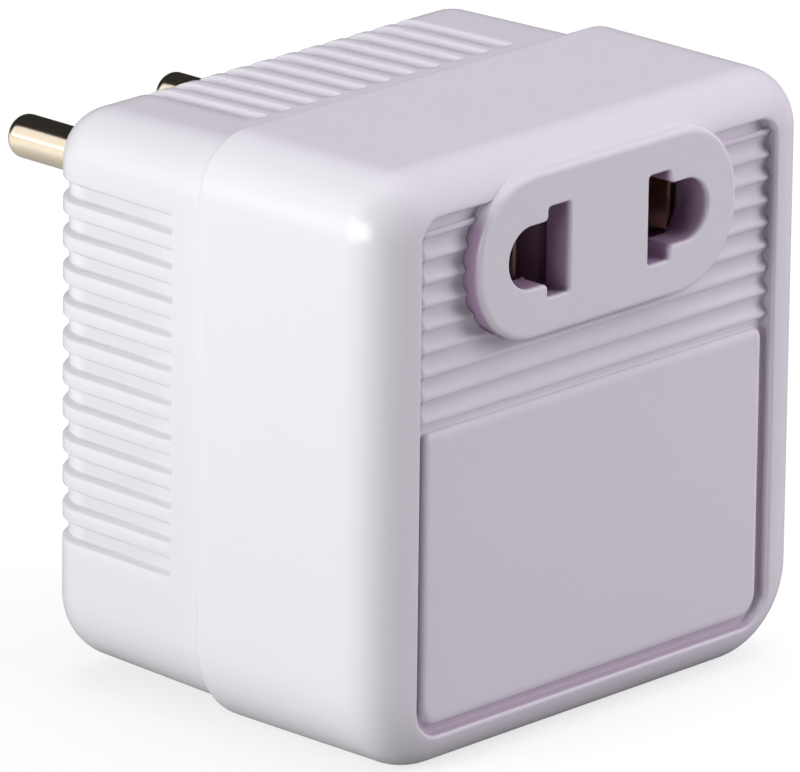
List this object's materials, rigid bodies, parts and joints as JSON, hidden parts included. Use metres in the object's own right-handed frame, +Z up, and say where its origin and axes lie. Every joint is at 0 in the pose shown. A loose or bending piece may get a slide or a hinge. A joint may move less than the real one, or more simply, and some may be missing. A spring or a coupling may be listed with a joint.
{
  "type": "travel voltage converter",
  "caption": "Plug-in travel voltage converter in white moulded plastic, with round plug pins at the back and a raised two-pole outlet above a flat panel in front",
  "frame": {"origin": "middle of the bounding box in plan, at the height of the cover's base", "axes": "X to the right seen from the outlet, Y from the outlet towards the plug pins, Z up"},
  "size_m": [0.0546, 0.0626, 0.0538],
  "materials": {
    "cover_white": "moulded white plastic with a soft gloss",
    "housing_white": "moulded white plastic with a soft gloss",
    "plated_brass": "turned brass, bright nickel plating",
    "contact_brass": "rolled spring brass strip",
    "tinned_metal": "tinned sheet and wire",
    "zinc_steel": "bright zinc on steel",
    "core_steel": "stacked sheet steel, varnished",
    "enamelled_copper": "copper wire under clear enamel",
    "yellow_tape": "polyester tape, smooth",
    "inner_ivory": "moulded insulating plastic, matt",
    "inner_brown": "moulded thermoset, matt",
    "inner_black": "moulded fibre plastic, matt",
    "fuse_case": "lacquered case",
    "wire_black": "flexible insulation",
    "wire_red": "flexible insulation"
  },
  "bodies": {
    "root": {"front_cover": "cover_white", "outlet_face": "cover_white", "rear_housing": "housing_white", "plug_pin_left": "plated_brass", "plug_pin_right": "plated_brass", "pin_lug_left": "tinned_metal", "pin_lug_right": "tinned_metal", "pin_clamp": "inner_black", "pin_clamp_screw": "zinc_steel", "outlet_contact_left": "contact_brass", "outlet_contact_right": "contact_brass", "contact_holder": "inner_brown", "contact_holder_screw": "zinc_steel", "core_e_stack": "core_steel", "core_i_stack": "core_steel", "core_strap": "zinc_steel", "bobbin": "inner_ivory", "bobbin_terminals": "tinned_metal", "winding_inner": "enamelled_copper", "winding_tape": "yellow_tape", "winding_outer": "enamelled_copper", "winding_wrap": "yellow_tape", "thermal_fuse": "fuse_case", "lead_live": "wire_black", "lead_neutral": "wire_black", "lead_out_left": "wire_red", "lead_out_right": "wire_black", "housing_screws": "zinc_steel"}
  },
  "joints": []
}
